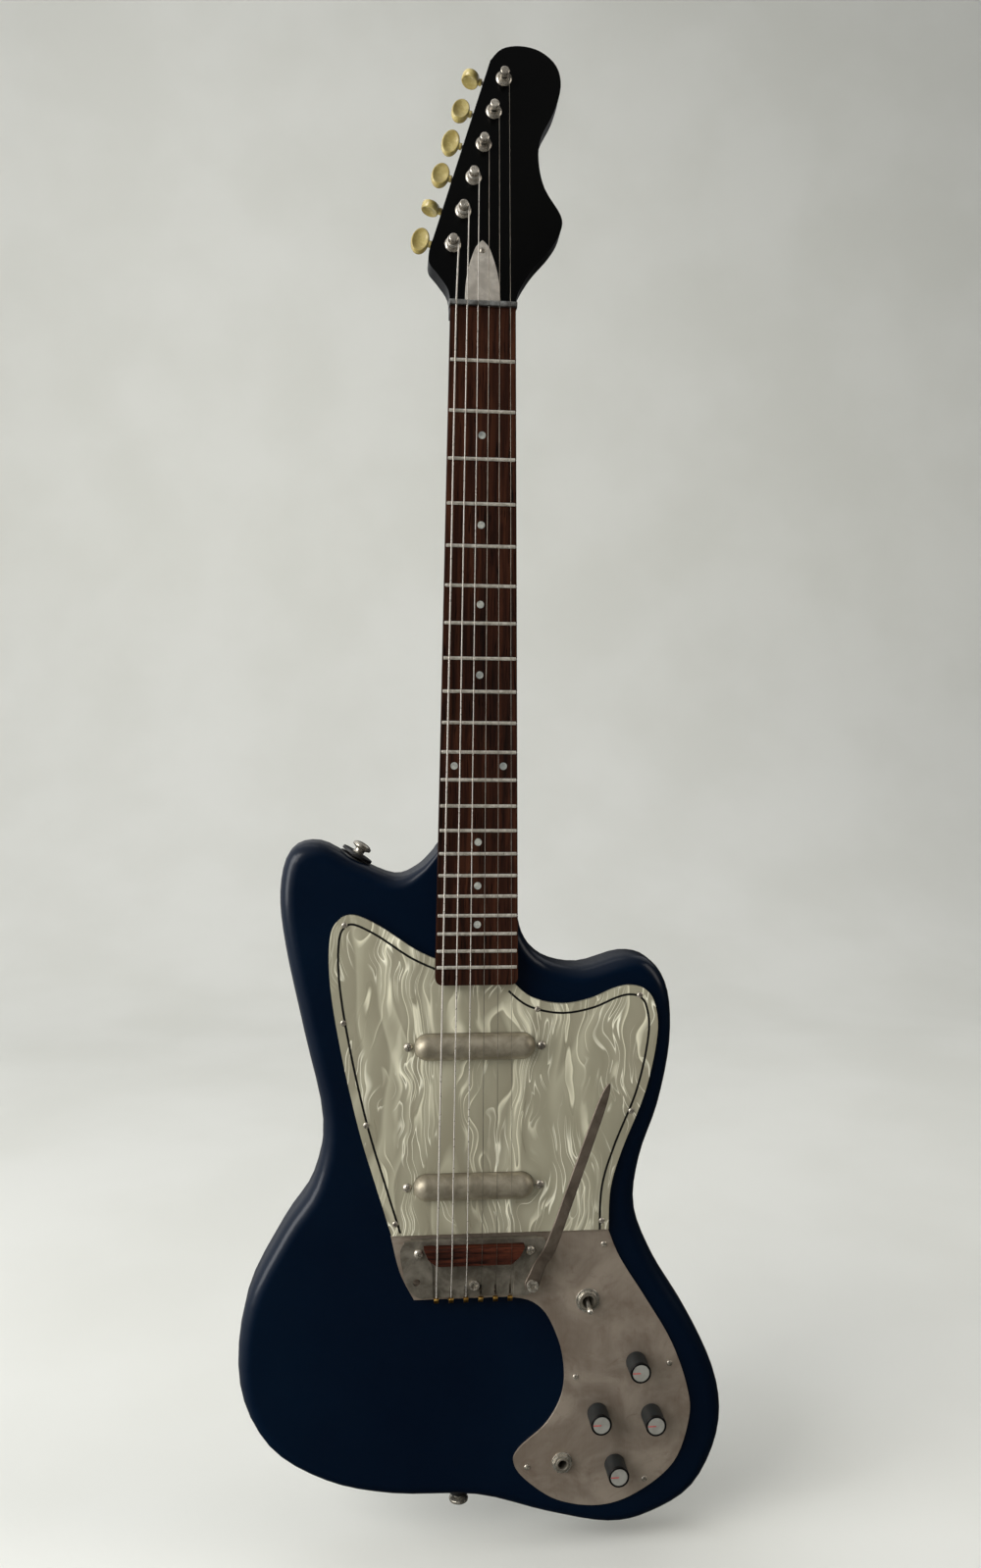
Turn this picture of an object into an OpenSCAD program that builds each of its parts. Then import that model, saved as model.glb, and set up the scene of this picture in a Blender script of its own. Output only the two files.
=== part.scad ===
// Solid-body electric guitar with a bolt-on neck, two tube pickups, a rocking
// tremolo bridge and six open-gear tuners, built as separate pieces.
// Frame: X to the player's right as seen from the front, Z up along the neck,
// -Y towards the strings. Origin: middle of the nut's front edge, in the plane
// of the fretboard's top. Millimetres.

/* [Strings] */
// Vibrating length, from the nut to the saddle
scale_length = 635; // [628:1:640]
// Distance from the first to the last string at the nut
nut_spread = 36.4; // [34:0.2:38]
// Distance from the first to the last string at the saddle
saddle_spread = 51.6; // [50:0.2:53]

/* [Neck] */
// Number of frets
fret_count = 21; // [19:1:21]
// Fretboard width at the nut
nut_width = 44; // [42:0.5:46]
// Fretboard width at its body end
board_end_width = 57; // [55:0.5:58]
// Fretboard thickness
board_thickness = 5.5; // [5:0.1:6]
// Height of a fret above the board
fret_height = 1; // [0.8:0.1:1.3]
// Depth of the neck behind the board's top at the nut
neck_depth = 20.5; // [19:0.5:22]
// Backward tilt of the headstock, in degrees
head_tilt = 8; // [7:0.5:9]
// Thickness of the headstock
head_thickness = 14; // [13:0.5:15]

/* [Body] */
// Thickness of the body
body_thickness = 42; // [40:1:46]
// How far the edge rounding reaches in from the outline
edge_inset = 11; // [9:0.5:11]
// How far the edge rounding reaches down the side
edge_drop = 12; // [9:0.5:13]
// Depth of the neck pocket
pocket_depth = 16; // [15:0.5:18]

/* [Plates] */
// Thickness of the pickguard
guard_thickness = 2.8; // [2:0.1:3]
// Thickness of the control plate
plate_thickness = 1.4; // [1:0.1:1.6]

/* [Controls] */
// Height of a knob
knob_height = 16; // [12:0.5:17]
// Radius of a knob
knob_radius = 7.4; // [7:0.1:8]

/* [Tremolo] */
// Angle of the arm from the strings' direction, in degrees
arm_angle = 19; // [16:1:24]
// Height of the arm's outer half above the body
arm_height = 22; // [19:0.5:24]

/* [Hidden] */

$fn = 48;
eps = 0.01;
running = 0.05;      // radial clearance of a turning shaft

// Levels along Y, from the front to the back
body_front = 10;
body_back = body_front + body_thickness;
guard_front = body_front - guard_thickness;
plate_front = body_front - plate_thickness;
pocket_floor = body_front + pocket_depth;
side_middle = (body_front + body_back) / 2;

// Frame of the headstock's front face
head_front = 5;

// Outlines are lists of [x, z], clockwise as seen from the front. The body's third
// value is the share of the full edge rounding at that point.
body_points = [
    [-22, -363, 0.12], [-4, -362, 0.12], [15, -363.5, 0.12], [22.5, -372, 0.12],
    [23.5, -392, 0.15], [28.4, -410, 0.3], [35, -429, 0.8], [50, -444.5, 1],
    [76, -450, 1], [107, -442, 1],
    [127, -447, 1], [139, -468, 1], [141, -505, 1], [133, -549, 1], [120, -588, 1],
    [117, -625, 1], [134, -666, 1], [162, -712, 1], [180, -755, 1], [181, -793, 1],
    [163, -831, 1], [131, -850, 1], [100, -855, 1], [55, -845, 1], [5, -830, 1],
    [-55, -826, 1], [-102, -814, 1], [-142, -787, 1], [-162, -742, 1], [-158, -684, 1],
    [-133, -633, 1], [-112, -600, 1], [-105, -556, 1], [-118, -495, 1], [-131, -435, 1],
    [-135, -396, 1], [-128, -368, 1], [-108, -362, 1], [-82, -375, 1], [-56, -385.5, 0.9],
    [-40, -380.5, 0.5], [-29.5, -371, 0.25]
];
guard_left = [
    [-57, -635.4], [-68, -600], [-80, -560], [-92, -508], [-100, -460],
    [-100.5, -428], [-95, -415], [-84, -411], [-66, -419], [-42, -435],
    [-24, -443.5]
];
guard_right = [
    [27, -459.5], [40, -469.5], [60, -474], [80, -471], [97, -464],
    [109, -461.5], [120, -464.5], [127, -475], [129, -497], [121, -537],
    [105, -578], [97, -606], [96, -635.4]
];
plate_outer = [
    [96, -636], [105, -657], [124, -687], [143, -719], [155, -752],
    [157, -776], [146, -808], [119, -829], [92, -836.5], [62, -831],
    [40, -816], [30.5, -803], [34, -792], [54, -774], [65, -751], [64, -724],
    [54, -698], [42, -686], [26, -682]
];
plate_left = [[-41, -682], [-51, -662], [-57.5, -636]];
head_right = [
    [6, 180], [14, 189], [27, 192], [41, 189], [52, 179], [55, 164],
    [50, 145], [41, 126], [39, 109], [43, 89], [54, 70], [54, 59], [47, 46],
    [34, 30], [24, 12], [22, -2]
];
head_left = [[-22, -2], [-23, 12], [-30, 23], [-36, 31], [-36, 40], [-33, 50]];
tremolo_half = [
    [0, -637.5], [44, -637.5], [49, -639], [51.5, -644], [51, -652],
    [48, -665], [43.5, -674], [37, -678], [30, -678], [0, -678]
];
panel_half = [[35.4, -640.7], [32.5, -648.4], [28.6, -655.5], [28, -680]];
control_cavity = [
    [64, -670], [100, -670], [114, -702], [137, -722], [145, -760],
    [143, -786], [120, -823], [92, -825], [52, -819], [45, -800],
    [72, -778], [78, -746], [74, -716], [64, -700]
];

// Fasteners and controls, [x, z]
guard_screw_points = [
    [-90.5, -418], [-91, -485.5], [-75, -557], [-54.5, -627], [43.5, -477.5],
    [116, -468.5], [111, -551], [91, -629]
];
plate_screw_points = [[93, -646.5], [142, -735], [74, -742], [125, -819], [40, -806]];
knob_points = [[117.5, -732.5], [90, -768.5], [129, -771], [103, -806.5]];
switch_point = [82, -686.5];
jack_point = [65, -803.5];
neck_bolt_centre = [-3, -414];
neck_bolt_reach = [13, 25];

// Pickups
pickup_levels = [-503, -601.5];
pickup_radius = 9.3;
pickup_wall = 0.7;
pickup_half = 42.2;      // middle to the round end
pickup_screw_x = 46.4;
pickup_bracket_y = guard_front + pickup_radius;

// Tremolo
tremolo_x = 0.5;
tremolo_top = 2;
tremolo_sheet = 2;
panel_level = tremolo_top + 0.9;     // the panel sunk between the plate's two sides
pivot_z = -646;
pivot_spread = 39;
arm_pivot = [41, -670];
tension_point = [0.5, -669.5];
spring_floor = 28;
saddle_z = -scale_length - 7;
saddle_crown = -4.7;

// Strings, from the thickest to the thinnest
string_radii = [0.58, 0.46, 0.33, 0.22, 0.17, 0.13];
nut_top = -2.2;
nut_string_y = -1.5;
anchor_z = -680.2;
anchor_y = 3;

// Heights of the strap buttons' washers, on the horn and at the end
strap_lifts = [5.2, 4];

// Tuners
tuner_count = 6;
tuner_line_start = [-20, 45];
tuner_line_angle = 16.1;
tuner_pitch = 25.4;
post_radius = 3;
bushing_radius = 4.2;
post_wrap_level = 5.6;
worm_offset = 6;
worm_depth = 19.3;
gear_teeth = 15;
gear_outer = 4.5;
gear_root = 3.5;
gear_width = 2;
gear_pitch_radius = 4.1;
worm_pitch = 2 * PI * gear_pitch_radius / gear_teeth;
worm_root = 1.35;
worm_outer = 2.35;
key_shaft = 1.3;
button_turns = [0, 80, 6, -4, 10, 84];

// ---- Curves ----
function spline_point(a, b, c, d, t) =
    0.5 * (2 * b + (c - a) * t + (2 * a - 5 * b + 4 * c - d) * t * t
        + (3 * b - a - 3 * c + d) * t * t * t);

// A smooth curve through the points, closed or open
function loop_curve(points, steps) = let (n = len(points)) [
    for (i = [0:n - 1], k = [0:steps - 1])
        spline_point(points[(i + n - 1) % n], points[i], points[(i + 1) % n],
            points[(i + 2) % n], k / steps)
];
function open_curve(points, steps) = let (n = len(points)) concat([
    for (i = [0:n - 2], k = [0:steps - 1])
        spline_point(points[max(i - 1, 0)], points[i], points[i + 1],
            points[min(i + 2, n - 1)], k / steps)
], [points[n - 1]]);

// A loop of [x, z, share] moved inwards by its shares of a distance
function inset_loop(points, distance) = let (n = len(points)) [
    for (i = [0:n - 1])
        let (t = points[(i + 1) % n] - points[(i + n - 1) % n])
            points[i] + distance * points[i].z / norm([t.x, t.y]) * [t.y, -t.x, 0]
];

function mirrored(points) = [for (i = [len(points) - 1:-1:0]) [-points[i].x, points[i].y]];

function board_half(z) =
    nut_width / 2 + (board_end_width - nut_width) / 2 * -z / board_length;
function fret_z(n) = -scale_length * (1 - pow(2, -n / 12));
board_length = -fret_z(fret_count) + 12.5;
heel_end = -board_length + 2.5;

// String places
function string_share(i) = i / (len(string_radii) - 1) - 0.5;
function string_nut(i) = [string_share(i) * nut_spread, nut_string_y, 2];
function string_saddle(i) = [string_share(i) * saddle_spread,
    saddle_crown - string_radii[i], saddle_z];
function string_anchor(i) = [string_share(i) * saddle_spread, anchor_y, anchor_z];

// Tuner places in the headstock's frame, 1 at the low end of the head
function tuner_place(i) = tuner_line_start
    + (i - 1) * tuner_pitch * [sin(tuner_line_angle), cos(tuner_line_angle)];

// A point of the headstock's frame in the guitar's frame
function from_head(p) = let (a = 90 - head_tilt)
    [p.x, head_front + p.y * cos(a) - p.z * sin(a), p.y * sin(a) + p.z * cos(a)];

// ---- Frames and shared shapes ----
// Faces the player: x stays X, y is Z, and z comes forward from the level given
module face_frame(level) {
    translate([0, level, 0]) rotate([90, 0, 0]) children();
}

module back_frame(level) {
    translate([0, level, 0]) rotate([-90, 0, 0]) children();
}

module head_frame() {
    translate([0, head_front, 0]) rotate([90 - head_tilt, 0, 0]) children();
}

module tuner_frame(i) {
    head_frame() translate([tuner_place(i).x, tuner_place(i).y, 0])
        rotate([0, 0, -tuner_line_angle]) children();
}

// z runs outwards along the tuner's key shaft
module key_frame(i) {
    tuner_frame(i) translate([0, worm_offset, -worm_depth])
        rotate([0, -90, 0]) children();
}

// A closed skin over equal loops, each one clockwise as seen from the first
module loft(loops) {
    n = len(loops[0]);
    m = len(loops);
    sides = [
        for (k = [0:m - 2], i = [0:n - 1])
            let (a = k * n + i, b = k * n + (i + 1) % n)
                each [[a, a + n, b + n], [a, b + n, b]]
    ];
    caps = [[for (i = [0:n - 1]) i], [for (i = [n - 1:-1:0]) (m - 1) * n + i]];
    polyhedron([for (l = loops) each l], concat(sides, caps));
}

// A round-headed screw: z = 0 at the seat, head above it, cross recess on top
module round_screw(head, height, shaft, length) {
    steps = 5;
    difference() {
        rotate_extrude($fn = 32) polygon(concat(
            [[0, -length], [shaft * 0.4, -length], [shaft, -length + shaft * 2],
                [shaft, 0]],
            [for (k = [0:steps]) [head * cos(90 * k / steps), height * sin(90 * k / steps)]]
        ));
        for (turn = [20, 110])
            translate([0, 0, height]) rotate([0, 0, turn])
                cube([head * 1.1, head * 0.24, height], center = true);
    }
}

module round_screws(points, level, head, height, shaft, length) {
    for (p = points)
        face_frame(level) translate([p.x, p.y, 0])
            round_screw(head, height, shaft, length);
}

// A round hole through everything between two levels along Y
module face_hole(p, radius, front, back) {
    face_frame(back) translate([p.x, p.y, 0]) cylinder(r = radius, h = back - front);
}

module hex_nut(flats, height, bore) {
    difference() {
        cylinder(d = flats / cos(30), h = height, $fn = 6);
        translate([0, 0, -1]) cylinder(r = bore, h = height + 2);
    }
}

module ring(outer, inner, height) {
    difference() {
        cylinder(r = outer, h = height);
        translate([0, 0, -1]) cylinder(r = inner, h = height + 2);
    }
}

// A coil of round wire along z
module coil(radius, wire, height, turns) {
    around = 10;
    sides = 5;
    climb = height - 2 * wire;
    loft([
        for (k = [turns * around:-1:0])
            let (turn = 360 * k / around, z = wire + climb * k / (turns * around)) [
                for (s = [0:sides - 1])
                    let (a = 360 * s / sides, r = radius + wire * cos(a))
                        [r * cos(turn), r * sin(turn), z + wire * sin(a)]
            ]
    ]);
}

// A capsule lying along X
module capsule(radius, half) {
    straight = half - radius;
    rotate([0, 90, 0]) rotate_extrude($fn = 64) polygon(concat(
        [for (k = [0:12]) [radius * sin(90 * k / 12), -straight - radius * cos(90 * k / 12)]],
        [for (k = [12:-1:0]) [radius * sin(90 * k / 12), straight + radius * cos(90 * k / 12)]]
    ));
}

// ---- Body and neck ----
module body_blank() {
    outline = loop_curve(body_points, 4);
    spare = 1;
    arc = [for (a = [0:15:90]) [edge_inset * (1 - sin(a)), edge_drop * (1 - cos(a))]];
    // inset, level and drop of each loop; the flat faces are cut a little inside its ends
    rows = concat(
        [[edge_inset, body_front - spare, 0]],
        [for (r = arc) [r.x, body_front, r.y]],
        [for (k = [len(arc) - 1:-1:0]) [arc[k].x, body_back, -arc[k].y]],
        [[edge_inset, body_back + spare, 0]]
    );
    intersection() {
        translate([-200, body_front, -900]) cube([400, body_thickness, 600]);
        loft([
            for (r = rows)
                [for (p = inset_loop(outline, r[0])) [p.x, r[1] + r[2] * p.z, p.y]]
        ]);
    }
}

module heel_shape(play) {
    r = 6;
    top = -364;
    half = board_half(heel_end) - 0.6 + play;
    end = heel_end - play;
    polygon(concat(
        [[-board_half(top) + 0.6 - play, top], [board_half(top) - 0.6 + play, top]],
        [for (a = [0:15:90]) [half - r + r * cos(a), end + r - r * sin(a)]],
        [for (a = [90:15:180]) [-half + r + r * cos(a), end + r - r * sin(a)]]
    ));
}

module body() {
    color("midnightblue") difference() {
        body_blank();
        face_frame(pocket_floor) linear_extrude(pocket_depth + 5) union() {
            heel_shape(0.15);
            translate([-board_half(-364) + 0.45, -364 - eps])
                square([2 * board_half(-364) - 0.9, 20]);
        }
        translate([-55, body_front - 1, -616]) cube([110, 25, 126]);
        face_frame(body_front + 32) linear_extrude(33) polygon(control_cavity);
        face_hole(tension_point, 8, body_front - 1, spring_floor);
        for (p = guard_screw_points) face_hole(p, 1.2, 0, body_front + 12);
        for (p = plate_screw_points) face_hole(p, 1.2, 0, body_front + 12);
        for (s = [-1, 1])
            face_hole([tremolo_x + s * pivot_spread, pivot_z], 2, 0, 32);
        for (x = [-1, 1], z = [-1, 1])
            face_hole(neck_bolt_centre + [x * neck_bolt_reach.x, z * neck_bolt_reach.y],
                2.4, pocket_floor - 1, body_back + 1);
        for (i = [0, 1]) strap_frame(i) {
            cylinder(r = [12, 8][i], h = 12);
            translate([0, 0, -25]) cylinder(r = 1.6, h = 26);
        }
    }
}

// z runs outwards from the flat under a strap button
module strap_frame(i) {
    place = [[-84.5, side_middle, -375], [-7, side_middle - 3, -829]][i];
    lean = [32, 180][i];
    translate(place) rotate([0, lean, 0]) children();
}

// One loop of the neck's back: flat front edge, oval back, squarer as power grows
function neck_loop(z, half, front, back, power) = [
    for (k = [0:24])
        let (a = 180 - 180 * k / 24, c = cos(a), s = sin(a))
            [half * sign(c) * pow(abs(c), 2 / power),
                front + (back - front) * pow(abs(s), 2 / power), z]
];

module neck() {
    tilt = tan(head_tilt);
    holes = [for (i = [1:tuner_count]) i];
    color("#151515") difference() {
        union() {
            loft([
                neck_loop(34, 20, head_front + 34 * tilt + 3, neck_depth + 1, 2.2),
                neck_loop(24, 21, head_front + 24 * tilt + 2, neck_depth + 2, 2.2),
                neck_loop(12, 21.6, head_front + 12 * tilt + 1, neck_depth + 1.6, 2.2),
                neck_loop(3, board_half(0), board_thickness, neck_depth + 0.4, 2.2),
                neck_loop(-8, board_half(-8) - 0.05, board_thickness, neck_depth, 2.2),
                neck_loop(-120, board_half(-120) - 0.05, board_thickness, neck_depth + 1, 2.2),
                neck_loop(-260, board_half(-260) - 0.05, board_thickness, neck_depth + 2, 2.2),
                neck_loop(-330, board_half(-330) - 0.1, board_thickness, neck_depth + 2.8, 2.3),
                neck_loop(-348, board_half(-348) - 0.2, board_thickness, neck_depth + 3.6, 2.7),
                neck_loop(-359, board_half(-359) - 0.4, board_thickness, neck_depth + 4.8, 4),
                neck_loop(-366, board_half(-364) - 0.7, board_thickness, pocket_floor, 9)
            ]);
            face_frame(pocket_floor)
                linear_extrude(pocket_floor - board_thickness) heel_shape(0);
            head_frame() translate([0, 0, -head_thickness]) linear_extrude(head_thickness)
                polygon(concat(open_curve(head_left, 4), open_curve(head_right, 4)));
        }
        translate([-30, -1, 0]) cube([60, board_thickness + 1, 4]);
        translate([-30, -1, -20]) cube([60, board_thickness + 1, 20.1]);
        translate([0, 12.5, -400]) cylinder(r = 2.6, h = 440);
        head_frame() translate([-4.5, 8, -10]) cube([9, 26, 11]);
        for (i = holes) tuner_frame(i) {
            translate([0, 0, -20]) cylinder(r = bushing_radius, h = 30);
            for (x = [-6.5, 6.5])
                translate([x, -5.5, -head_thickness - 1]) cylinder(r = 0.9, h = 9);
        }
        head_frame() translate([0, 41, -9]) cylinder(r = 1, h = 10);
        for (x = [-1, 1], z = [-1, 1])
            face_hole(neck_bolt_centre + [x * neck_bolt_reach.x, z * neck_bolt_reach.y],
                2.1, 11, pocket_floor + 1);
    }
}

module fretboard() {
    r = 5;
    half = board_end_width / 2;
    color("#4a2014") difference() {
        face_frame(board_thickness) linear_extrude(board_thickness) polygon(concat(
            [[-nut_width / 2, 0], [nut_width / 2, 0]],
            [for (a = [0:15:90]) [half - r + r * cos(a), -board_length + r - r * sin(a)]],
            [for (a = [90:15:180]) [-half + r + r * cos(a), -board_length + r - r * sin(a)]]
        ));
        for (n = [1:fret_count])
            translate([-40, -1, fret_z(n) - 0.3]) cube([80, 3, 0.6]);
        for (p = dot_places()) face_hole(p, 2.5, -1, 1.5);
    }
}

module frets() {
    crown = 1.2;
    color("silver") for (n = [1:fret_count]) {
        half = board_half(fret_z(n)) - 0.7;
        translate([-half, 0, fret_z(n)]) rotate([90, 0, 90]) linear_extrude(2 * half)
            polygon(concat(
                [[0, -crown], [0, -0.3], [2, -0.3], [2, 0.3], [0, 0.3], [0, crown]],
                [for (a = [70:-20:-70]) [-fret_height * cos(a), crown * sin(a)]]
            ));
    }
}

function dot_places() = concat(
    [for (n = [3, 5, 7, 9, 15, 17, 19]) [0, (fret_z(n - 1) + fret_z(n)) / 2]],
    [for (s = [-1, 1]) [s * 16.8, (fret_z(11) + fret_z(12)) / 2]]
);

module position_dots() {
    color("gainsboro") for (p = dot_places()) face_hole(p, 2.5, 0, 1.5);
}

module nut() {
    half = nut_width / 2 + 0.8;
    color("lightgray") difference() {
        translate([-half, 0, 0]) rotate([90, 0, 90]) linear_extrude(2 * half)
            polygon([[board_thickness, 0], [board_thickness, 4], [nut_top + 0.9, 4],
                [nut_top + 0.2, 3.4], [nut_top, 2.4], [nut_top, 0.6], [nut_top + 0.4, 0]]);
        for (i = [0:5]) translate([string_nut(i).x, nut_string_y, -1])
            cylinder(r = string_radii[i] + 0.05, h = 6, $fn = 24);
        for (i = [0:5]) translate([string_nut(i).x - string_radii[i], nut_top - 2, -1])
            cube([2 * string_radii[i], nut_string_y - nut_top + 2, 6]);
    }
}

module truss_rod() {
    color("dimgray") {
        translate([0, 12.5, -396]) cylinder(r = 2.5, h = 396 + 14);
        translate([0, 12.5, 14]) difference() {
            cylinder(r = 3.6, h = 9, $fn = 32);
            translate([0, 0, 4]) cylinder(d = 4.6, h = 6, $fn = 6);
        }
    }
}

module truss_rod_cover() {
    right = open_curve([[0, 48.5], [4.2, 44], [7, 37], [9.8, 27], [11.4, 16], [12, 4.6]], 5);
    color("silver") head_frame() difference() {
        linear_extrude(1.4) polygon(concat(right, mirrored(right)));
        translate([0, 41, -1]) cylinder(r = 1, h = 4);
    }
}

module truss_cover_screw() {
    color("dimgray") head_frame() translate([0, 41, 1.4]) round_screw(2, 1, 1, 9);
}

module neck_plate() {
    size = [36, 62];
    color("silver") difference() {
        back_frame(body_back) translate([neck_bolt_centre.x, -neck_bolt_centre.y, 0])
            linear_extrude(1.6) polygon([for (q = [0:3], a = [0:15:90])
                let (c = [[1, 1], [-1, 1], [-1, -1], [1, -1]][q])
                    [c.x * (size.x / 2 - 4), c.y * (size.y / 2 - 4)]
                        + 4 * [cos(a + 90 * q), sin(a + 90 * q)]]);
        for (x = [-1, 1], z = [-1, 1])
            face_hole(neck_bolt_centre + [x * neck_bolt_reach.x, z * neck_bolt_reach.y],
                2.2, body_back - 1, body_back + 3);
    }
}

module neck_screws() {
    color("gray") for (x = [-1, 1], z = [-1, 1])
        back_frame(body_back + 1.6)
            translate([neck_bolt_centre.x + x * neck_bolt_reach.x,
                -neck_bolt_centre.y + z * neck_bolt_reach.y, 0])
                round_screw(4.2, 2.4, 2.1, 41);
}

// ---- Pickguard and control plate ----
module pickguard() {
    color("#cfcbb8") difference() {
        face_frame(body_front) linear_extrude(guard_thickness)
            polygon(concat(open_curve(guard_left, 5), open_curve(guard_right, 5)));
        face_frame(body_front + 1) linear_extrude(guard_thickness + 2) {
            heel_shape(0.5);
            translate([-30, -420]) square([60, 60]);
        }
        for (z = pickup_levels) {
            for (s = [-1, 1])
                face_hole([s * (pickup_half - pickup_radius), z], pickup_radius + 0.2, 0, 11);
            translate([-(pickup_half - pickup_radius), 0, z - pickup_radius - 0.2])
                cube([2 * (pickup_half - pickup_radius), 11, 2 * pickup_radius + 0.4]);
            for (s = [-1, 1]) face_hole([s * pickup_screw_x, z], 1.7, 0, 11);
        }
        for (p = guard_screw_points) face_hole(p, 1.3, 0, 11);
    }
}

module pickguard_screws() {
    color("silver") round_screws(guard_screw_points, guard_front, 2.1, 1, 1.2, 12);
}

module control_plate() {
    color("#8d877c") difference() {
        face_frame(body_front) linear_extrude(plate_thickness)
            polygon(concat(open_curve(plate_outer, 6), open_curve(plate_left, 5)));
        for (p = plate_screw_points) face_hole(p, 1.3, 0, 11);
        for (p = knob_points) face_hole(p, 3.6, 0, 11);
        face_hole(switch_point, 5.9, 0, 11);
        face_hole(jack_point, 4.8, 0, 11);
        face_hole(tension_point, 8, 0, 11);
        for (s = [-1, 1])
            face_hole([tremolo_x + s * pivot_spread, pivot_z], 2.2, 0, 11);
    }
}

module control_plate_screws() {
    color("silver") round_screws(plate_screw_points, plate_front, 2.1, 1, 1.2, 12);
}

// ---- Pickups ----
module pickup_covers() {
    color("#8f8a82") for (z = pickup_levels) translate([0, guard_front, z]) difference() {
        capsule(pickup_radius, pickup_half);
        capsule(pickup_radius - pickup_wall, pickup_half - pickup_wall);
    }
}

module pickup_coils() {
    color("saddlebrown") for (z = pickup_levels) translate([0, guard_front, z]) difference() {
        cube([66, 10, 11], center = true);
        cube([58, 11, 3.2], center = true);
    }
}

module pickup_magnets() {
    color("dimgray") for (z = pickup_levels) translate([0, guard_front, z])
        cube([57.8, 10, 3.2], center = true);
}

module pickup_brackets() {
    color("gray") for (z = pickup_levels) difference() {
        translate([-50, pickup_bracket_y, z - 5]) cube([100, 1.5, 10]);
        for (s = [-1, 1])
            face_hole([s * pickup_screw_x, z], 1.5, pickup_bracket_y - 1, pickup_bracket_y + 3);
    }
}

module pickup_screws() {
    points = [for (z = pickup_levels, s = [-1, 1]) [s * pickup_screw_x, z]];
    color("silver") round_screws(points, guard_front, 3.2, 2.2, 1.5, 16);
}

module pickup_springs() {
    gap = pickup_bracket_y - body_front;
    color("silver") for (z = pickup_levels, s = [-1, 1])
        face_frame(pickup_bracket_y) translate([s * pickup_screw_x, z, 0.05])
            coil(2.3, 0.3, gap - 0.1, 5);
}

// ---- Tremolo ----
module tremolo_plate() {
    shape = open_curve(tremolo_half, 4);
    low = tremolo_top + tremolo_sheet;
    color("#98938a") difference() {
        union() {
            translate([tremolo_x, 0, 0]) face_frame(low) linear_extrude(tremolo_sheet)
                polygon(concat(shape, mirrored(shape)));
            translate([tremolo_x - 44, low - 1, -639.5]) cube([88, 4.2, 2]);
            translate([tremolo_x - 36, low - 1, -678]) cube([72, 3.5, 2]);
        }
        face_frame(panel_level) linear_extrude(3)
            polygon(concat(panel_half, mirrored(panel_half)));
        for (s = [-1, 1]) face_hole([tremolo_x + s * pivot_spread, pivot_z], 2.7, -1, 12);
        face_hole([tremolo_x - 40, -666.5], 2.6, -1, 12);
        face_hole(arm_pivot, 2.5, -1, 12);
        face_hole(tension_point, 2.2, -1, 12);
        for (i = [0:5]) translate([string_anchor(i).x - 0.8, -1, -679])
            cube([1.6, 6, 9]);
    }
}

module saddle() {
    front = saddle_z + 1;
    rear = saddle_z - 12.5;
    color("#5a2416") intersection() {
        translate([0, panel_level, 0]) rotate([90, 0, 0]) linear_extrude(9)
            polygon([[-35, front], [35, front], [32, rear + 6], [26, rear], [-26, rear],
                [-32, rear + 6]]);
        translate([-40, 0, 0]) rotate([90, 0, 90]) linear_extrude(80)
            polygon([[panel_level, front], [saddle_crown + 0.8, front],
                [saddle_crown + 0.1, saddle_z + 0.5], [saddle_crown, saddle_z],
                [saddle_crown + 0.4, saddle_z - 1.5], [saddle_crown + 3.3, rear],
                [panel_level, rear]]);
    }
}

module pivot_screws() {
    points = [for (s = [-1, 1]) [tremolo_x + s * pivot_spread, pivot_z]];
    color("silver") round_screws(points, tremolo_top - 0.4, 3.3, 2.2, 2, 30);
}

module tremolo_spring() {
    color("silver") face_frame(spring_floor) translate([tension_point.x, tension_point.y, 0.05])
        coil(5, 0.7, spring_floor - tremolo_top - tremolo_sheet - 0.1, 6);
}

module tension_screw() {
    color("dimgray") face_frame(panel_level) translate([tension_point.x, tension_point.y, 0])
        difference() {
            union() {
                cylinder(r = 3.4, h = 2.4);
                translate([0, 0, -16]) cylinder(r = 2.2, h = 17);
            }
            translate([0, 0, 0.8]) cylinder(d = 4.6, h = 3, $fn = 6);
        }
}

// The arm's centre line, height above the body and half width, outwards from its pivot
arm_stations = [
    [6, 8.6, 4.6], [12, 9, 4.4], [17, 11, 4.2], [22, 15, 4.2], [28, 19, 4.2],
    [36, arm_height - 1, 4.1], [50, arm_height, 3.9], [90, arm_height, 3.7],
    [125, arm_height, 3.5], [142, arm_height, 3.1], [150, arm_height, 2],
    [153.5, arm_height, 0.7]
];
arm_sheet = 2.2;

module tremolo_arm() {
    hub = body_front - tremolo_top + 0.2;
    color("#7c7268") face_frame(body_front) translate([arm_pivot.x, arm_pivot.y, 0])
        rotate([0, 0, -arm_angle]) difference() {
            union() {
                translate([0, 0, hub]) cylinder(r = 5.4, h = arm_sheet);
                translate([-4.6, 0, hub]) cube([9.2, 7, arm_sheet]);
                loft([for (s = arm_stations) [
                    [-s[2], s[0], s[1] - 0.4], [-s[2], s[0], s[1] + arm_sheet - 0.4],
                    [s[2], s[0], s[1] + arm_sheet - 0.4], [s[2], s[0], s[1] - 0.4]
                ]]);
            }
            translate([0, 0, hub - 3]) cylinder(r = 2.5 + running, h = 12);
        }
}

module arm_screw() {
    hub = tremolo_top - 0.2 - arm_sheet;
    color("silver") face_frame(hub - 0.2) translate([arm_pivot.x, arm_pivot.y, 0])
        difference() {
            union() {
                cylinder(r = 4.2, h = 2.2);
                translate([0, 0, -8]) cylinder(r = 2.5, h = 9);
            }
            translate([0, 0, 1]) cylinder(d = 4.2, h = 3, $fn = 6);
        }
}

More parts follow.
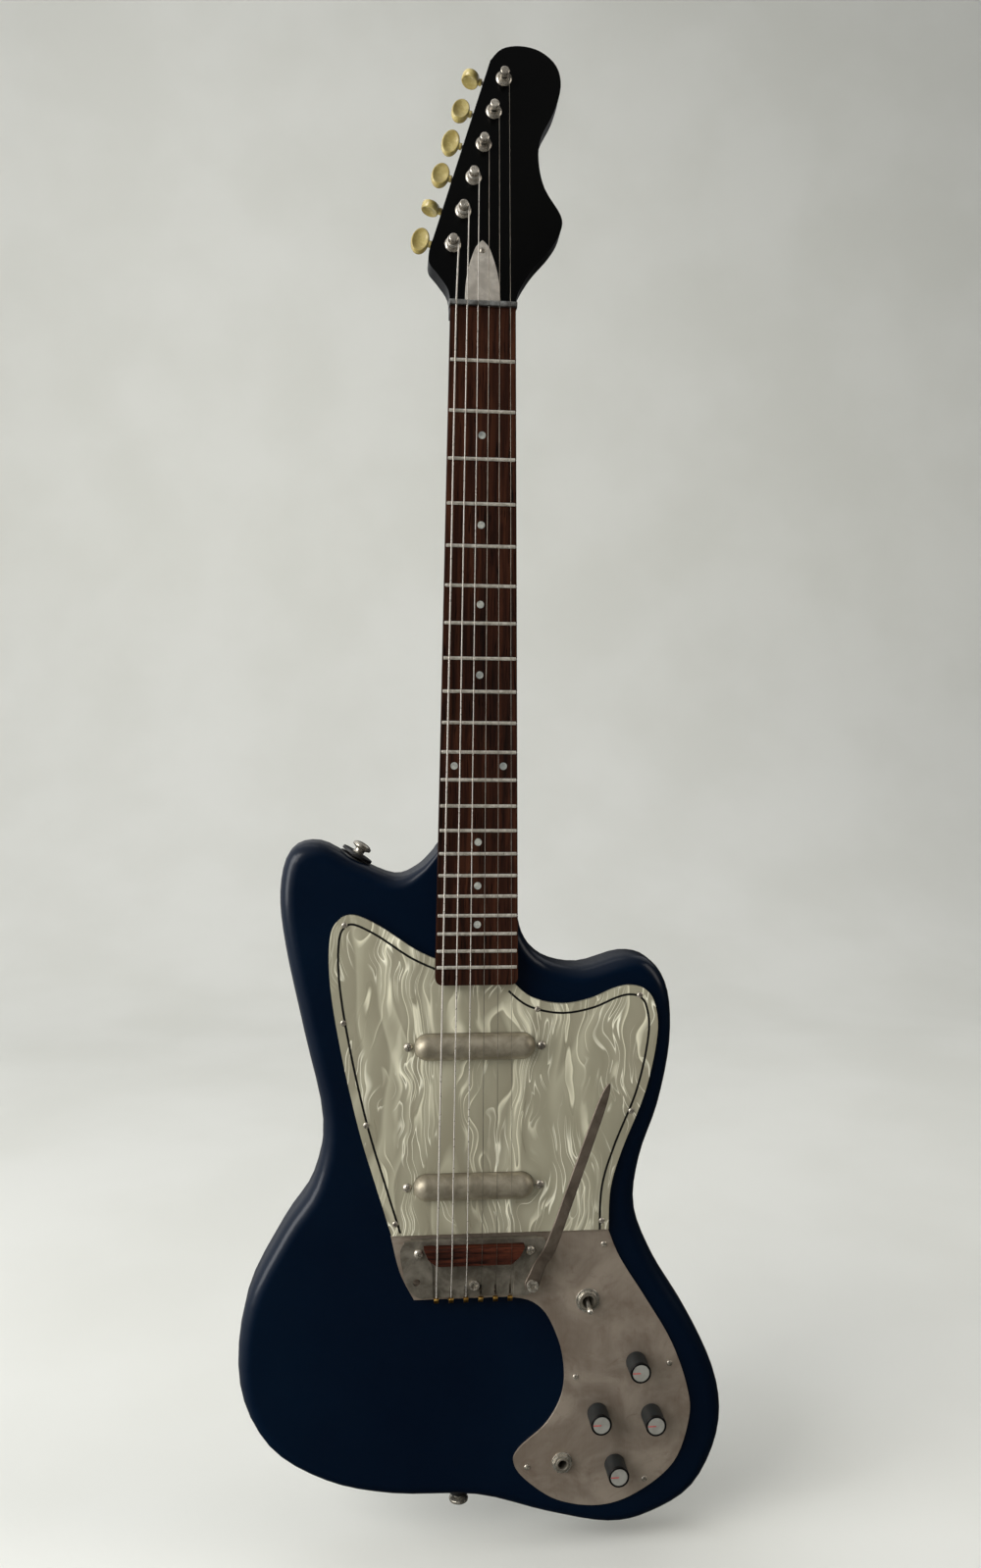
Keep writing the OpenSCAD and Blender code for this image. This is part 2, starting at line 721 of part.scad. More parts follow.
// ---- Strings ----
// A string's centre line: anchor, saddle, nut, then down around its post
function string_path(i) =
    let (r = string_radii[i], tuner = tuner_place(i + 1), reach = post_radius + r + 0.15,
        wraps = [2.5, 3, 3.5, 3.5, 4, 4][i], around = 10)
        concat([
            string_anchor(i) + [0, -0.5, 2.2], string_saddle(i) + [0, 0.15, -1],
            string_saddle(i) + [0, 0, 1], string_nut(i) + [0, 0, -1.5],
            string_nut(i) + [0, 0.1, 1.5]
        ], [
            for (k = [0:wraps * around])
                let (a = 360 * k / around)
                    from_head([tuner.x + reach * cos(a), tuner.y + reach * sin(a),
                        post_wrap_level - 2.1 * r * k / around])
        ]);

// A round bar along a path, its loops squared up to the headstock's normal
module swept_string(i) {
    path = string_path(i);
    last = len(path) - 1;
    up = from_head([0, 0, 1]) - from_head([0, 0, 0]);
    sides = 8;
    loft([
        for (k = [0:last])
            let (t = path[min(k + 1, last)] - path[max(k - 1, 0)],
                side = cross(t, up) / norm(cross(t, up)),
                top = cross(side, t) / norm(cross(side, t))) [
                for (q = [0:sides - 1])
                    let (a = 360 * q / sides)
                        path[k] + string_radii[i] * (cos(a) * side + sin(a) * top)
            ]
    ]);
}

module wound_strings() {
    color("silver") for (i = [0:2]) swept_string(i);
}

module plain_strings() {
    color("gainsboro") for (i = [3:5]) swept_string(i);
}

module string_ball_ends() {
    color("goldenrod") for (i = [0:5]) translate(string_anchor(i))
        rotate([0, 90, 0]) cylinder(r = 1.9, h = 3.2, center = true, $fn = 24);
}

// ---- Strap buttons ----
module strap_buttons() {
    color("silver") for (i = [0, 1]) strap_frame(i)
        translate([0, 0, strap_lifts[i]]) rotate_extrude()
            polygon([[1.6, 0], [4.2, 0], [3.5, 1], [3.7, 3], [6.6, 4.2], [6.9, 5],
                [6.7, 6.2], [5, 7.4], [3, 7.9], [3, 6.6], [1.6, 6.6]]);
}

module strap_screws() {
    color("gray") for (i = [0, 1]) strap_frame(i)
        translate([0, 0, strap_lifts[i] + 6.6]) round_screw(2.9, 1.2, 1.6, 28);
}

module strap_washers() {
    color("#111111") {
        strap_frame(0) {
            ring(11.5, 1.6, 1.8);
            translate([0, 0, 1.8]) ring(4.4, 1.6, 1.4);
            translate([0, 0, 3.2]) ring(11.5, 1.6, strap_lifts[0] - 3.2);
        }
        strap_frame(1) ring(7.2, 1.6, strap_lifts[1]);
    }
}

// ---- Controls ----
module switch_body() {
    color("dimgray") face_frame(plate_front) translate([switch_point.x, switch_point.y, 0]) {
        difference() {
            union() {
                translate([0, 0, -14]) cylinder(r = 5.9, h = 17.6);
                translate([-8, -11, -26]) cube([16, 22, 26 - plate_thickness]);
            }
            translate([0, 0, -5]) cylinder(r1 = 2.6, r2 = 4.6, h = 9);
            translate([0, 0, -8]) cylinder(r = 2.6, h = 4);
        }
        for (y = [-7, 0, 7]) translate([-2, y - 0.6, -31]) cube([4, 1.2, 5]);
    }
}

module switch_nut() {
    color("silver") face_frame(plate_front) translate([switch_point.x, switch_point.y, 0]) {
        ring(8.6, 5.9, 0.9);
        translate([0, 0, 0.9]) ring(6.9, 5.9, 2.2);
    }
}

module switch_lever() {
    color("silver") face_frame(plate_front) translate([switch_point.x, switch_point.y, -3.5])
        rotate([14, 0, 0]) {
            sphere(r = 2.2, $fn = 32);
            rotate_extrude($fn = 32) polygon([[0, 0], [1.4, 0], [1.4, 7], [2.1, 13],
                [2.2, 14.4], [1.5, 15.6], [0, 16]]);
        }
}

module jack_body() {
    color("dimgray") face_frame(plate_front) translate([jack_point.x, jack_point.y, 0]) {
        rotate_extrude() polygon([[3.25, -10], [8.5, -10], [8.5, -8.6], [6.5, -8.4],
            [6.5, -plate_thickness], [4.7, -plate_thickness], [4.7, 3.8], [3.25, 3.8]]);
        translate([5, -2, -26]) cube([0.8, 4, 16.5]);
        translate([-5.8, -2, -22]) cube([0.8, 4, 12.5]);
    }
}

module jack_nut() {
    color("silver") face_frame(plate_front) translate([jack_point.x, jack_point.y, 0]) {
        ring(7.4, 4.7, 0.8);
        translate([0, 0, 0.8]) hex_nut(12, 2.4, 4.7);
    }
}

module potentiometers() {
    color("gray") for (p = knob_points) face_frame(body_front) translate([p.x, p.y, 0]) {
        difference() {
            union() {
                translate([0, 0, -9]) cylinder(r = 12, h = 9);
                cylinder(r = 3.5, h = 6);
            }
            translate([0, 0, -7]) cylinder(r = 3 + running, h = 14);
        }
        for (x = [-5, 0, 5]) translate([x - 1, -16.5, -4]) cube([2, 6, 0.6]);
    }
}

module pot_nuts() {
    color("silver") for (p = knob_points) face_frame(plate_front) translate([p.x, p.y, 0]) {
        ring(5.7, 3.5, 0.6);
        translate([0, 0, 0.6]) hex_nut(9.4, 2, 3.5);
    }
}

module knob(i) {
    p = knob_points[i - 1];
    lift = 0.5;
    face_frame(plate_front) translate([p.x, p.y, lift]) {
        color("#2b2b2d") difference() {
            union() {
                cylinder(r = knob_radius, h = knob_height - 0.4);
                cylinder(r = knob_radius - 0.4, h = knob_height);
            }
            translate([0, 0, -1]) cylinder(r = 6, h = 6);
            translate([0, 0, knob_height - 0.5]) cylinder(r = 6.3, h = 1);
        }
        color("silver") translate([0, 0, -8]) cylinder(r = 3, h = 15);
        color("lightgray") translate([0, 0, knob_height - 0.5]) cylinder(r = 6.3, h = 0.4);
        color("firebrick") translate([-6, -0.3, knob_height - 0.2]) cube([6, 0.6, 0.2]);
    }
}

// ---- Tuners ----
module gear_outline() {
    step = 360 / gear_teeth;
    polygon([
        for (k = [0:gear_teeth - 1]) let (a = 90 + step * (k + 0.5))
            each [
                for (q = [[gear_root, -7.8], [gear_outer, -2.5], [gear_outer, 2.5],
                    [gear_root, 7.8]])
                    q[0] * [cos(a + q[1]), sin(a + q[1])]
            ]
    ]);
}

module tuner_post(i) {
    r = post_radius;
    low = -worm_depth - gear_width / 2;
    color("silver") tuner_frame(i) {
        difference() {
            rotate_extrude() polygon([[0, low], [2.4, low], [2.4, -head_thickness - 0.5],
                [r, -head_thickness + 0.5], [r, 2], [r - 0.35, 3.4], [r - 0.35, 6.2],
                [r, 7.6], [r, 8.8], [r - 0.5, 9.2], [0, 9.2]]);
            translate([-4, 0, post_wrap_level + 0.9]) rotate([0, 90, 0])
                cylinder(r = 0.6, h = 8, $fn = 24);
        }
        translate([0, 0, low]) linear_extrude(gear_width) gear_outline();
        translate([0, 0, low - 1.2]) cylinder(r = 2.6, h = 1.3);
    }
}

// A one-start right-hand thread along z, with a crest towards -y at z = 0
module worm_thread() {
    around = 14;
    turns = 4;
    span = turns * around;
    loft([
        for (k = [span:-1:0])
            let (a = 270 + 360 * (k / around - turns / 2), z = worm_pitch * (a - 270) / 360) [
                for (q = [[worm_root - 0.5, -0.5], [worm_outer, -0.15],
                    [worm_outer, 0.15], [worm_root - 0.5, 0.5]])
                    [q[0] * cos(a), q[0] * sin(a), z + q[1]]
            ]
    ]);
}

module tuner_key(i) {
    button = [6.3, 9.2];
    middle = 24;
    key_frame(i) {
        color("silver") {
            translate([0, 0, -4.6]) cylinder(r = worm_root, h = 9.2);
            worm_thread();
            translate([0, 0, -7.6]) cylinder(r = key_shaft, h = middle + 3);
        }
        color("#e8dfb4") rotate([0, 0, button_turns[i - 1]]) {
            translate([-2.6, 0, middle]) rotate([0, 90, 0]) linear_extrude(5.2)
                polygon([for (a = [0:15:345]) [button.x * cos(a), button.y * sin(a)]]);
            translate([0, 0, 15.8]) cylinder(r = 2.4, h = 3.5);
        }
    }
}

module tuner_plates() {
    size = [18, 17];
    color("silver") for (i = [1:tuner_count]) tuner_frame(i) {
        difference() {
            union() {
                translate([-size.x / 2, -8, -head_thickness - 1]) cube([size.x, size.y, 1]);
                for (x = [-6.8, 5.6])
                    translate([x, worm_offset - 2.8, -worm_depth - 2.8])
                        cube([1.2, 5.6, worm_depth + 2.8 - head_thickness - 0.5]);
            }
            translate([0, 0, -30]) cylinder(r = post_radius + running, h = 30);
            translate([-10, worm_offset, -worm_depth]) rotate([0, 90, 0])
                cylinder(r = key_shaft + running, h = 20);
            for (x = [-6.5, 6.5])
                translate([x, -5.5, -head_thickness - 2]) cylinder(r = 1, h = 3);
        }
    }
}

module tuner_bushings() {
    color("silver") for (i = [1:tuner_count]) tuner_frame(i) rotate_extrude() polygon([
        [post_radius + running, -head_thickness], [bushing_radius, -head_thickness],
        [bushing_radius, 0], [5.6, 0], [5.6, 0.7], [5, 1.3], [4, 1.7],
        [post_radius + running, 1.7]
    ]);
}

module tuner_screws() {
    color("silver") for (i = [1:tuner_count], x = [-6.5, 6.5])
        tuner_frame(i) translate([x, -5.5, -head_thickness - 1]) rotate([180, 0, 0])
            round_screw(1.9, 1, 0.9, 8);
}

body();
neck();
fretboard();
frets();
position_dots();
nut();
truss_rod();
truss_rod_cover();
truss_cover_screw();
neck_plate();
neck_screws();
pickguard();
pickguard_screws();
control_plate();
control_plate_screws();
pickup_covers();
pickup_coils();
pickup_magnets();
pickup_brackets();
pickup_screws();
pickup_springs();
tremolo_plate();
saddle();
pivot_screws();
tremolo_spring();
tension_screw();
tremolo_arm();
arm_screw();
wound_strings();
plain_strings();
string_ball_ends();
strap_buttons();
strap_screws();
strap_washers();
switch_body();
switch_nut();
switch_lever();
jack_body();
jack_nut();
potentiometers();
pot_nuts();
knob(1);  // knob_1
knob(2);  // knob_2
knob(3);  // knob_3
knob(4);  // knob_4
tuner_post(1);  // tuner_post_1
tuner_post(2);  // tuner_post_2
tuner_post(3);  // tuner_post_3
tuner_post(4);  // tuner_post_4
tuner_post(5);  // tuner_post_5
tuner_post(6);  // tuner_post_6
tuner_key(1);  // tuner_key_1
tuner_key(2);  // tuner_key_2
tuner_key(3);  // tuner_key_3
tuner_key(4);  // tuner_key_4
tuner_key(5);  // tuner_key_5
tuner_key(6);  // tuner_key_6
tuner_plates();
tuner_bushings();
tuner_screws();
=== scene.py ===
import math

import bmesh
import bpy
from mathutils import Matrix, Vector

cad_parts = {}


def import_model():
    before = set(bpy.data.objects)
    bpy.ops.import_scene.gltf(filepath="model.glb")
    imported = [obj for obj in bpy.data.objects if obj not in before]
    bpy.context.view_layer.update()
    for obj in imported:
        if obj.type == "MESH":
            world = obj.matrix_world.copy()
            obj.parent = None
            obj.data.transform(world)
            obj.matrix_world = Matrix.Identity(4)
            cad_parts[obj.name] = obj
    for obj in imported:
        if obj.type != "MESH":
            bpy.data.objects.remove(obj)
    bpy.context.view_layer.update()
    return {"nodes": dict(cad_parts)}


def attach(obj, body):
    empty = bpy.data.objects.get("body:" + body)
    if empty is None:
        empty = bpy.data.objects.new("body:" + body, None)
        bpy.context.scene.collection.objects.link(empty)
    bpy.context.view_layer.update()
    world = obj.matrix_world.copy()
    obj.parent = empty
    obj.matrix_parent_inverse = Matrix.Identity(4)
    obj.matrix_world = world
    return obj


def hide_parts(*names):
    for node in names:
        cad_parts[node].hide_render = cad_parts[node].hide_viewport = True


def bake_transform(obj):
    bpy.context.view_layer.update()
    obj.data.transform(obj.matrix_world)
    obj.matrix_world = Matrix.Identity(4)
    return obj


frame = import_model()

# Geometry is written in millimetres, in the frame of the CAD, and scaled on building
MM = 0.001
NODES = frame["nodes"]
TAU = 2 * math.pi


# ---- Shader helpers ----
def linear(r, g, b):
    """An sRGB colour, 0 to 255, as linear RGBA."""
    out = []
    for c in (r, g, b):
        c /= 255
        out.append(c / 12.92 if c <= 0.04045 else ((c + 0.055) / 1.055) ** 2.4)
    return (*out, 1.0)


class Finish:
    """A material under construction: a Principled shader fed by procedural nodes."""

    def __init__(self, name, **constants):
        self.material = bpy.data.materials.new(name)
        self.material.use_nodes = True
        self.tree = self.material.node_tree
        self.tree.nodes.clear()
        out = self.tree.nodes.new("ShaderNodeOutputMaterial")
        self.shader = self.tree.nodes.new("ShaderNodeBsdfPrincipled")
        self.tree.links.new(self.shader.outputs[0], out.inputs[0])
        for key, value in constants.items():
            self.shader.inputs[key.replace("_", " ")].default_value = value
        self.place = self.tree.nodes.new("ShaderNodeTexCoord").outputs["Object"]

    def put(self, socket, value):
        if hasattr(value, "is_output"):
            self.tree.links.new(value, socket)
        else:
            socket.default_value = value

    def node(self, kind, inputs=(), **settings):
        made = self.tree.nodes.new("ShaderNode" + kind)
        for key, value in settings.items():
            setattr(made, key, value)
        for key, value in dict(inputs).items():
            self.put(made.inputs[key], value)
        return made

    def math(self, operation, a, b=0.5):
        return self.node("Math", {0: a, 1: b}, operation=operation).outputs[0]

    def vector(self, operation, a, b):
        made = self.node("VectorMath", {0: a}, operation=operation)
        self.put(made.inputs["Scale" if operation == "SCALE" else 1], b)
        return made.outputs[0]

    def stretched(self, scale, place=None):
        """Coordinates with a scale per axis, in cycles a metre."""
        return self.node("Mapping", {
            "Vector": self.place if place is None else place, "Scale": scale,
        }).outputs[0]

    def noise(self, scale, detail=3.0, roughness=0.55, distortion=0.0, place=None):
        """Noise from 0 to 1. scale is a number, or a triple for a stretched pattern."""
        if isinstance(scale, tuple):
            place, scale = self.stretched(scale, place), 1.0
        made = self.node("TexNoise", {
            "Vector": self.place if place is None else place, "Scale": scale,
            "Detail": detail, "Roughness": roughness, "Distortion": distortion,
        })
        return made.outputs[0]

    def warp(self, scale, amount, detail=2.0):
        """The object's coordinates, pushed about by noise up to amount metres."""
        made = self.node("TexNoise", {
            "Vector": self.place, "Scale": scale, "Detail": detail, "Roughness": 0.5,
        })
        push = self.vector("SUBTRACT", made.outputs["Color"], (0.5, 0.5, 0.5))
        return self.vector("ADD", self.place, self.vector("SCALE", push, amount * 2))

    def span(self, value, low, high, start=0.0, end=1.0, smooth=True):
        """value between low and high, mapped from start to end."""
        made = self.node("MapRange", {
            "Value": value, "From Min": low, "From Max": high, "To Min": start, "To Max": end,
        }, interpolation_type="SMOOTHSTEP" if smooth else "LINEAR")
        return made.outputs[0]

    def ramp(self, value, *stops):
        made = self.node("ValToRGB", {0: value})
        elements = made.color_ramp.elements
        while len(elements) < len(stops):
            elements.new(0.5)
        for element, (at, colour) in zip(elements, stops):
            element.position, element.color = at, colour
        return made.outputs[0]

    def mix(self, share, a, b, mode="MIX"):
        made = self.node("Mix", data_type="RGBA", blend_type=mode)
        self.put(made.inputs[0], share)
        self.put(made.inputs[6], a)
        self.put(made.inputs[7], b)
        return made.outputs[2]

    def colour(self, value):
        self.put(self.shader.inputs["Base Color"], value)

    def roughness(self, value):
        self.put(self.shader.inputs["Roughness"], value)

    def bump(self, height, distance, strength=1.0):
        made = self.node("Bump", {"Height": height, "Distance": distance, "Strength": strength})
        self.put(self.shader.inputs["Normal"], made.outputs[0])


# ---- Materials ----
def metal(name, light, dark, rough, patch, scratch=(900, 900, 90), bare=1.0):
    """Plated or bare metal: blotches of tone, fine scratches, uneven gloss. patch and scratch
    are in cycles a metre. bare is less than 1 under a film of age."""
    f = Finish(name, Metallic=bare)
    blotch = f.noise(patch, 5, 0.65, 0.4)
    fine = f.noise(scratch, 2, 0.7)
    f.colour(f.mix(f.span(blotch, 0.35, 0.68), linear(*dark), linear(*light)))
    wear = f.math("MULTIPLY", fine, 0.35)
    f.roughness(f.span(f.math("ADD", blotch, wear), 0.35, 0.95, rough[0], rough[1], False))
    f.bump(fine, 0.00002, 0.6)
    return f.material


def paint(name, base, deep, low, high, flake, shine):
    """Sprayed lacquer: slow drift of tone, orange peel, and a few hairline scuffs. flake is the
    share of metallic grain, shine the strength of the reflection, low and high the roughness."""
    f = Finish(name, Coat_Weight=0.12, Coat_Roughness=0.12, Specular_IOR_Level=shine)
    drift = f.noise(9.0, 3, 0.5)
    grain = f.noise(2600.0, 2, 0.6)
    tone = f.math("ADD", drift, f.math("MULTIPLY", grain, flake))
    f.colour(f.mix(f.span(tone, 0.3, 0.75 + flake), linear(*deep), linear(*base)))
    scuff = f.noise((60, 60, 900), 4, 0.7, 1.2)
    f.roughness(f.span(scuff, 0.3, 0.8, low, high, False))
    f.bump(f.noise(420.0, 3, 0.5), 0.00004, 0.5)
    return f.material


def pearloid():
    """Swirled celluloid pearl: stretched folds, each rising softly to a bright edge."""
    f = Finish("pearloid", Coat_Weight=0.3, Coat_Roughness=0.1)
    folded = f.warp(9.0, 0.05, 1.0)
    crimped = f.warp(21.0, 0.022, 1.5)

    def folds(scale, count, place, detail):
        """Contour bands of a stretched noise: a slow rise, then a quick fall."""
        field = f.noise(scale, detail, 0.45, 0.3, place)
        return field, f.math("FRACT", f.math("MULTIPLY", field, count))

    broad, rise = folds((19.0, 1.0, 3.8), 5.0, folded, 1.0)
    small, ripple = folds((62.0, 1.0, 7.5), 6.0, crimped, 1.0)
    _, thread = folds((130.0, 1.0, 14.0), 6.0, crimped, 1.5)
    presence = f.noise((26.0, 1.0, 8.0), 2.0, 0.5, 0.6)
    scarce = f.noise((36.0, 1.0, 12.0), 2.0, 0.5, 0.6)
    tone = f.ramp(rise, (0.0, linear(134, 128, 108)), (0.6, linear(144, 139, 118)),
                  (0.9, linear(166, 161, 139)), (1.0, linear(136, 131, 111)))
    lit = f.ramp(ripple, (0.0, (0, 0, 0, 1)), (0.7, (0.1, 0.1, 0.1, 1)),
                 (0.94, (0.85, 0.85, 0.85, 1)), (1.0, (0, 0, 0, 1)))
    tone = f.mix(f.math("MULTIPLY", lit, f.span(presence, 0.42, 0.58, 0.0, 0.95)), tone,
                 linear(240, 235, 208))
    spark = f.ramp(thread, (0.0, (0, 0, 0, 1)), (0.8, (0.05, 0.05, 0.05, 1)),
                   (0.96, (1, 1, 1, 1)), (1.0, (0, 0, 0, 1)))
    tone = f.mix(f.math("MULTIPLY", spark, f.span(scarce, 0.46, 0.62, 0.0, 0.95)), tone,
                 linear(252, 248, 226))
    shade = f.span(broad, 0.35, 0.65, 0.0, 0.25)
    f.colour(f.mix(shade, tone, linear(148, 144, 124)))
    f.roughness(f.span(small, 0.3, 0.7, 0.26, 0.38, False))
    f.bump(rise, 0.00004, 0.2)
    return f.material


def wood(name, light, mid, dark, along, across, rough=0.5):
    """Open-grained dark wood: lengthwise streaks, dark pores, slow colour drift."""
    f = Finish(name, Specular_IOR_Level=0.06)
    bent = f.warp(14.0, 0.0025)
    grain = f.noise(tuple(across if a else along for a in (1, 1, 0)), 4, 0.65, 0.3, bent)
    pores = f.noise(tuple(across * 4 if a else along * 5 for a in (1, 1, 0)), 2, 0.6, 0.0, bent)
    drift = f.noise((30, 30, 11), 2, 0.5)
    tone = f.ramp(f.math("ADD", f.math("MULTIPLY", grain, 0.75), f.math("MULTIPLY", drift, 0.3)),
                  (0.36, linear(*dark)), (0.52, linear(*mid)), (0.7, linear(*light)))
    f.colour(f.mix(f.span(pores, 0.42, 0.3), tone, linear(*[c * 0.45 for c in dark])))
    f.roughness(f.span(grain, 0.3, 0.7, rough + 0.08, rough - 0.08, False))
    f.bump(pores, 0.00008, 0.6)
    return f.material


def cross_wood(name, light, mid, dark, rough):
    """The same kind of wood with its grain along X."""
    f = Finish(name, Specular_IOR_Level=0.15)
    bent = f.warp(40.0, 0.0015)
    grain = f.noise((22, 420, 420), 4, 0.65, 0.4, bent)
    pores = f.noise((90, 1800, 1800), 2, 0.6, 0.0, bent)
    tone = f.ramp(grain, (0.34, linear(*dark)), (0.5, linear(*mid)), (0.66, linear(*light)))
    f.colour(f.mix(f.span(pores, 0.4, 0.3), tone, linear(*[c * 0.5 for c in dark])))
    f.roughness(f.span(grain, 0.3, 0.7, rough + 0.07, rough - 0.07, False))
    f.bump(pores, 0.00006, 0.6)
    return f.material


def brushed():
    """The control plate: cross-brushed aluminium, warm with age and handled patches."""
    f = Finish("brushed_plate", Metallic=0.6)
    lines = f.noise((2600, 60, 40), 3, 0.7)
    cloud = f.noise(26.0, 5, 0.6, 0.6)
    stain = f.noise(70.0, 4, 0.65, 1.0)
    tone = f.mix(f.span(cloud, 0.3, 0.7), linear(146, 130, 114), linear(186, 171, 154))
    tone = f.mix(f.span(stain, 0.52, 0.72, 0.0, 0.35), tone, linear(124, 100, 84))
    f.colour(f.mix(f.span(lines, 0.2, 0.8, 0.0, 0.12), tone, linear(200, 192, 180)))
    gloss = f.math("ADD", cloud, f.math("MULTIPLY", lines, 0.3))
    f.roughness(f.span(gloss, 0.4, 0.9, 0.34, 0.48, False))
    f.bump(lines, 0.00003, 0.5)
    return f.material


def plastic(name, light, dark, rough, grain=900.0, depth=0.00003, **constants):
    """Moulded plastic or rubber: faint mottling, handled gloss, fine texture."""
    f = Finish(name, **constants)
    mottle = f.noise(160.0, 4, 0.6)
    f.colour(f.mix(f.span(mottle, 0.3, 0.7), linear(*dark), linear(*light)))
    f.roughness(f.span(mottle, 0.3, 0.7, rough - 0.06, rough + 0.08, False))
    f.bump(f.noise(grain, 2, 0.6), depth, 0.5)
    return f.material


def wound():
    """Roundwound string: fine turns of wire as ridges across the string, with painted light and
    shade.
    """
    f = Finish("wound_steel", Metallic=0.6)
    turns = f.node("TexWave", {"Vector": f.place, "Scale": 520.0, "Distortion": 0.0},
                   wave_type="BANDS", bands_direction="Z").outputs[1]
    # The colour bands of the turns are painted light on each crest and painted shade in each groove
    f.colour(f.mix(turns, linear(150, 145, 136), linear(214, 208, 198)))
    f.roughness(f.span(f.noise(400.0), 0.3, 0.7, 0.24, 0.38, False))
    f.bump(turns, 0.0001, 0.8)
    return f.material


BODY_PAINT = paint("body_paint", (0, 16, 34), (0, 10, 27), 0.28, 0.4, 0.25, 0.16)
HEAD_PAINT = paint("head_paint", (5, 5, 4), (2, 2, 2), 0.3, 0.42, 0.0, 0.06)
ROSEWOOD = wood("rosewood", (68, 38, 25), (43, 22, 14), (19, 10, 7), 9.0, 260.0)
SADDLE_WOOD = cross_wood("saddle_wood", (92, 46, 28), (64, 28, 16), (28, 12, 8), 0.45)
NICKEL = metal("nickel", (206, 198, 184), (158, 150, 138), (0.18, 0.32), 180.0, bare=0.75)
BRIGHT = metal("screw_nickel", (216, 208, 192), (142, 134, 122), (0.18, 0.32), 420.0, bare=0.7)
FRET_METAL = metal("fret_nickel", (222, 216, 204), (178, 170, 156), (0.24, 0.36), 300.0,
                   (90, 900, 900), bare=0.5)
SHINE = metal("bright_nickel", (214, 208, 194), (150, 143, 130), (0.16, 0.28), 260.0, bare=0.75)
ALUMINIUM = metal("aluminium", (206, 206, 200), (150, 148, 142), (0.28, 0.42), 240.0,
                  (90, 900, 900))
SATIN = metal("satin_silver", (222, 214, 202), (188, 180, 168), (0.36, 0.46), 90.0,
              (1200, 60, 60), bare=0.6)
DULL = metal("dull_nickel", (152, 145, 131), (106, 99, 87), (0.34, 0.48), 60.0,
             (700, 700, 80), bare=0.65)
ARM = metal("arm_nickel", (122, 110, 97), (92, 81, 70), (0.34, 0.46), 50.0,
            (1200, 200, 40), bare=0.6)
CHROME = metal("pickup_chrome", (168, 159, 139), (138, 129, 110), (0.36, 0.48), 75.0,
               (60, 900, 900), bare=0.6)
STEEL = metal("plain_steel", (204, 202, 196), (150, 148, 142), (0.2, 0.32), 300.0)
STRING = metal("plain_string", (150, 144, 132), (116, 110, 100), (0.32, 0.42), 60.0, (60, 60, 60))
WOUND = wound()
ROD = metal("rod_steel", (120, 118, 114), (74, 72, 70), (0.35, 0.5), 120.0)
BRASS = metal("brass", (214, 174, 96), (160, 118, 52), (0.22, 0.38), 300.0)
COPPER = metal("copper_wire", (176, 96, 58), (120, 58, 32), (0.3, 0.45), 200.0, (1500, 60, 60))
MAGNET = metal("magnet", (84, 84, 86), (50, 50, 52), (0.45, 0.6), 120.0)
BRUSHED = brushed()
PEARLOID = pearloid()
PEARL_DOT = plastic("pearl_dot", (186, 186, 176), (120, 124, 122), 0.26, 500.0)
RUBBER = plastic("black_rubber", (24, 24, 24), (12, 12, 12), 0.55, 1500.0, 0.00006)
INLAY = plastic("guard_line", (14, 14, 13), (6, 6, 6), 0.35)
KNOB_SIDE = plastic("knob_side", (34, 38, 39), (24, 27, 28), 0.42, 1400.0, 0.00005,
                    Specular_IOR_Level=0.3)
KNOB_RIM = plastic("knob_rim", (12, 12, 12), (7, 7, 7), 0.3, Specular_IOR_Level=0.25)
KNOB_CAP = plastic("knob_cap", (138, 137, 130), (124, 122, 115), 0.4)
KNOB_LINE = plastic("knob_line", (196, 40, 42), (168, 28, 32), 0.4)
BUTTON = plastic("tuner_button", (184, 168, 108), (156, 138, 80), 0.24, 300.0, 0.00003,
                 Subsurface_Weight=0.15, Subsurface_Radius=(0.004, 0.003, 0.001),
                 Coat_Weight=0.3, Coat_Roughness=0.1)


# ---- Finish on the CAD nodes that are shown as they are ----
CAD_WELD = 0.000004
FLAT_ANGLE = math.radians(0.6)
BEVELLED_SPLIT = 46
NORMAL_WEIGHT = 80


def dress(names, material, bevel=0.15, limit=32.0, segments=2, merge=False):
    """Material, small rounded edges and clean shading, all in modifiers on the node's own mesh.
    bevel is in millimetres and limit in degrees. merge first joins the triangles of each flat
    face, for a large plate."""
    for name in names.split():
        obj = NODES[name]
        obj.data.materials.clear()
        obj.data.materials.append(material)
        for face in obj.data.polygons:
            face.use_smooth = True
        obj.modifiers.new("weld", "WELD").merge_threshold = CAD_WELD
        if merge:
            flat = obj.modifiers.new("flat", "DECIMATE")
            flat.decimate_type, flat.angle_limit = "DISSOLVE", FLAT_ANGLE
        if bevel:
            edge = obj.modifiers.new("edge", "BEVEL")
            edge.width, edge.segments = bevel * MM, segments
            edge.limit_method, edge.angle_limit = "ANGLE", math.radians(limit)
            edge.use_clamp_overlap = True
            edge.face_strength_mode = "FSTR_ALL" if merge else "FSTR_NONE"
        if not merge:
            split = obj.modifiers.new("split", "EDGE_SPLIT")
            split.split_angle = math.radians(BEVELLED_SPLIT if bevel else limit)
            split.use_edge_sharp = False
        even = obj.modifiers.new("even", "WEIGHTED_NORMAL")
        even.weight = NORMAL_WEIGHT
        even.use_face_influence = merge


